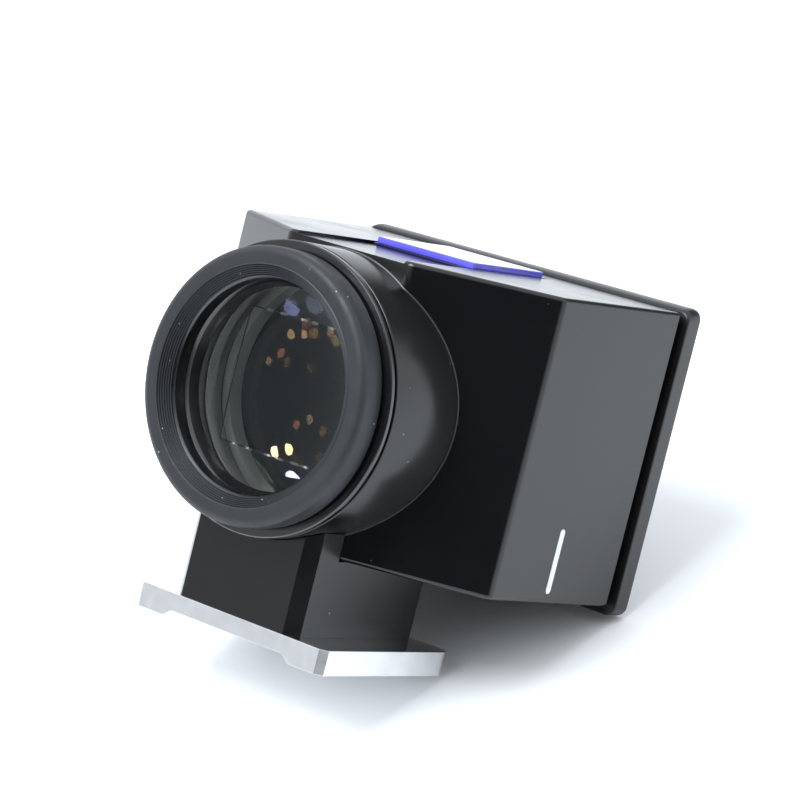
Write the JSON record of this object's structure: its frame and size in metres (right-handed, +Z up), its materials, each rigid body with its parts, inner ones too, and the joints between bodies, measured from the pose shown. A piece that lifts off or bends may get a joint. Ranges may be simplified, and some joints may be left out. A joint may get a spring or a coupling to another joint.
{
  "type": "shoe-mount optical viewfinder",
  "caption": "Compact black optical viewfinder with a round eyepiece, a flared body, a rectangular front window and a bright metal foot for a camera accessory shoe.",
  "frame": {"origin": "middle of the footprint, on the underside of the shoe plate", "axes": "+Z up, away from the camera; +Y forwards to the subject, the eye looks in from -Y; +X to the right as the user looks in"},
  "size_m": [0.0324, 0.0322, 0.0316],
  "materials": {
    "body_paint": "smooth satin black",
    "shoe_metal": "bright satin, fine straight brushing",
    "eyecup_rubber": "fine matt grey-black",
    "ring_metal": "dark anodised, satin",
    "inner_black": "anti-reflection matt black",
    "lens_glass": "polished, coated",
    "badge_blue": "glossy blue enamel",
    "badge_dark": "dark navy, semi-gloss",
    "index_white": "filled white line, matt",
    "screw_steel": "turned, satin"
  },
  "bodies": {
    "root": {"badge_bed": "badge_dark", "badge_plate": "badge_blue", "barrel_rim_ring": "body_paint", "body_screw_1": "screw_steel", "body_screw_2": "screw_steel", "body_shell": "body_paint", "eyecup_carrier": "ring_metal", "eyecup_ring": "eyecup_rubber", "eyepiece_cell": "inner_black", "eyepiece_lens": "lens_glass", "field_lens": "lens_glass", "field_mask": "inner_black", "front_frame": "body_paint", "index_line": "index_white", "lens_retaining_ring": "ring_metal", "lens_spacer": "inner_black", "objective_clamp": "inner_black", "objective_lens": "lens_glass", "pedestal": "body_paint", "reticle_glass": "lens_glass", "reticle_lock_ring": "inner_black", "reticle_spacer": "inner_black", "shoe_plate": "shoe_metal", "shoe_screw_1": "screw_steel", "shoe_screw_2": "screw_steel", "shoe_screw_3": "screw_steel", "shoe_screw_4": "screw_steel"}
  },
  "joints": []
}
